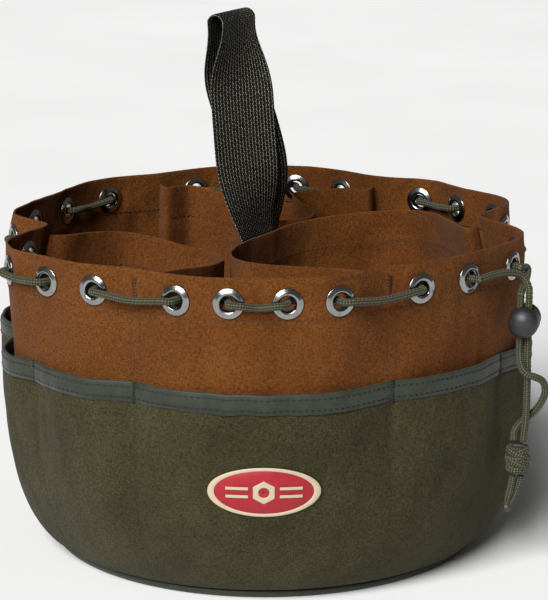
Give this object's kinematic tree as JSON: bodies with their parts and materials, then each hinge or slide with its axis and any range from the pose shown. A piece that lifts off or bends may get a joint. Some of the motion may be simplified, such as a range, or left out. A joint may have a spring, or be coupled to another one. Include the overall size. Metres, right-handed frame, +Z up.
{
  "type": "tool bucket organizer",
  "caption": "round soft canvas tool bag with drawstring rim, curved dividers forming pouches, a band of outside pockets, a webbing carry loop and a sprung cord lock",
  "frame": {"origin": "middle of the base, on the ground", "axes": "+Z up; -Y is the front, where the oval badge is; +X is the side with the cord lock"},
  "size_m": [0.3084, 0.3211, 0.2979],
  "materials": {
    "brown_duck": "rough cotton duck",
    "olive_ripstop": "dull woven nylon",
    "green_tape": "smooth binding tape",
    "nickel": "worn bright plating",
    "olive_paracord": "braided cord with flecks",
    "black_plastic": "moulded satin",
    "spring_steel": "bright wire",
    "webbing": "coarse woven webbing with flecks",
    "badge": "satin moulded patch"
  },
  "bodies": {
    "bag": {"outer_wall": "brown_duck", "divider_left": "brown_duck", "divider_right": "brown_duck", "divider_back": "brown_duck", "base_panel": "brown_duck", "pocket_panel_1": "olive_ripstop", "pocket_panel_2": "olive_ripstop", "pocket_panel_3": "olive_ripstop", "pocket_panel_4": "olive_ripstop", "pocket_panel_5": "olive_ripstop", "pocket_panel_6": "olive_ripstop", "pocket_binding": "green_tape", "base_binding": "green_tape", "grommet_1": "nickel", "grommet_2": "nickel", "grommet_3": "nickel", "grommet_4": "nickel", "grommet_5": "nickel", "grommet_6": "nickel", "grommet_7": "nickel", "grommet_8": "nickel", "grommet_9": "nickel", "grommet_10": "nickel", "grommet_11": "nickel", "grommet_12": "nickel", "grommet_13": "nickel", "grommet_14": "nickel", "grommet_15": "nickel", "grommet_16": "nickel", "grommet_17": "nickel", "grommet_18": "nickel", "grommet_19": "nickel", "grommet_20": "nickel", "grommet_21": "nickel", "grommet_22": "nickel", "grommet_23": "nickel", "grommet_24": "nickel", "drawstring": "olive_paracord", "cord_end_left": "olive_paracord", "cord_end_right": "olive_paracord", "cord_knot": "olive_paracord", "cord_tail_left": "olive_paracord", "cord_tail_right": "olive_paracord", "handle_foot_near": "webbing", "handle_foot_far": "webbing", "badge": "badge"},
    "handle": {"handle_loop": "webbing"},
    "lock": {"lock_body": "black_plastic", "lock_spring": "spring_steel"},
    "button": {"lock_button": "black_plastic"}
  },
  "joints": [
    {"name": "handle_fold", "type": "hinge", "parent": "bag", "child": "handle", "pos_m": [-0.0004, 0.0286, 0.1797], "axis": [0.4695, 0.8829, 0], "range_deg": [-70, 70]},
    {"name": "lock_slide", "type": "slide", "parent": "bag", "child": "lock", "axis": [0, 0, 1], "range_m": [-0.009, 0.003]},
    {"name": "button_press", "type": "slide", "parent": "lock", "child": "button", "axis": [-0.2402, -0.9707, 0], "range_m": [0, 0.003], "stiffness_N_per_m": 500, "springref_m": -0.002, "deforming": ["lock_spring"]}
  ]
}
